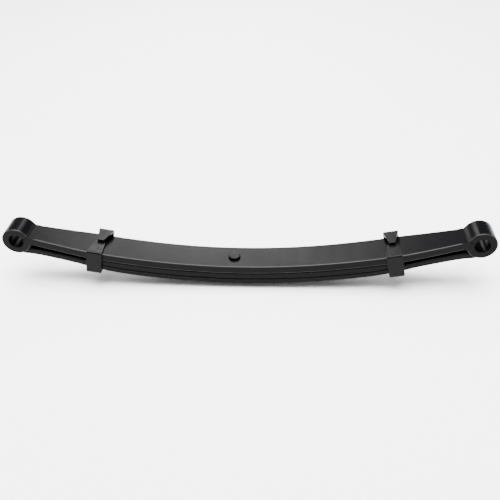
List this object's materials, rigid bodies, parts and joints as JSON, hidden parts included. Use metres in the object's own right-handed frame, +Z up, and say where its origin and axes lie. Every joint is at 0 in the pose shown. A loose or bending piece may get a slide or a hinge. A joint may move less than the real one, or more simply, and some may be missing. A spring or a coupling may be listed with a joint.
{
  "type": "leaf spring",
  "caption": "Semi-elliptic leaf spring with rolled eyes, a centre bolt and riveted rebound clips, painted black.",
  "frame": {"origin": "under the middle of the line between the eyes, level with the tip of the centre bolt", "axes": "+X along the leaves, +Y across them, +Z up towards the centre bolt's head"},
  "size_m": [0.65, 0.0514, 0.0894],
  "materials": {
    "leaf_paint": "satin",
    "clip_paint": "satin",
    "hardware_paint": "satin"
  },
  "bodies": {
    "eye_ends": {"main_leaf": "leaf_paint"},
    "axle_seat": {"middle_leaf": "leaf_paint", "wrapper_leaf": "leaf_paint", "left_rebound_clip": "clip_paint", "right_rebound_clip": "clip_paint", "left_clip_rivet": "hardware_paint", "right_clip_rivet": "hardware_paint", "centre_bolt": "hardware_paint", "centre_bolt_nut": "hardware_paint"}
  },
  "joints": [
    {"name": "deflection", "type": "slide", "parent": "eye_ends", "child": "axle_seat", "axis": [0, 0, 1], "range_m": [0, 0.03], "stiffness_N_per_m": 260000, "deforming": ["main_leaf", "middle_leaf", "wrapper_leaf"]}
  ]
}
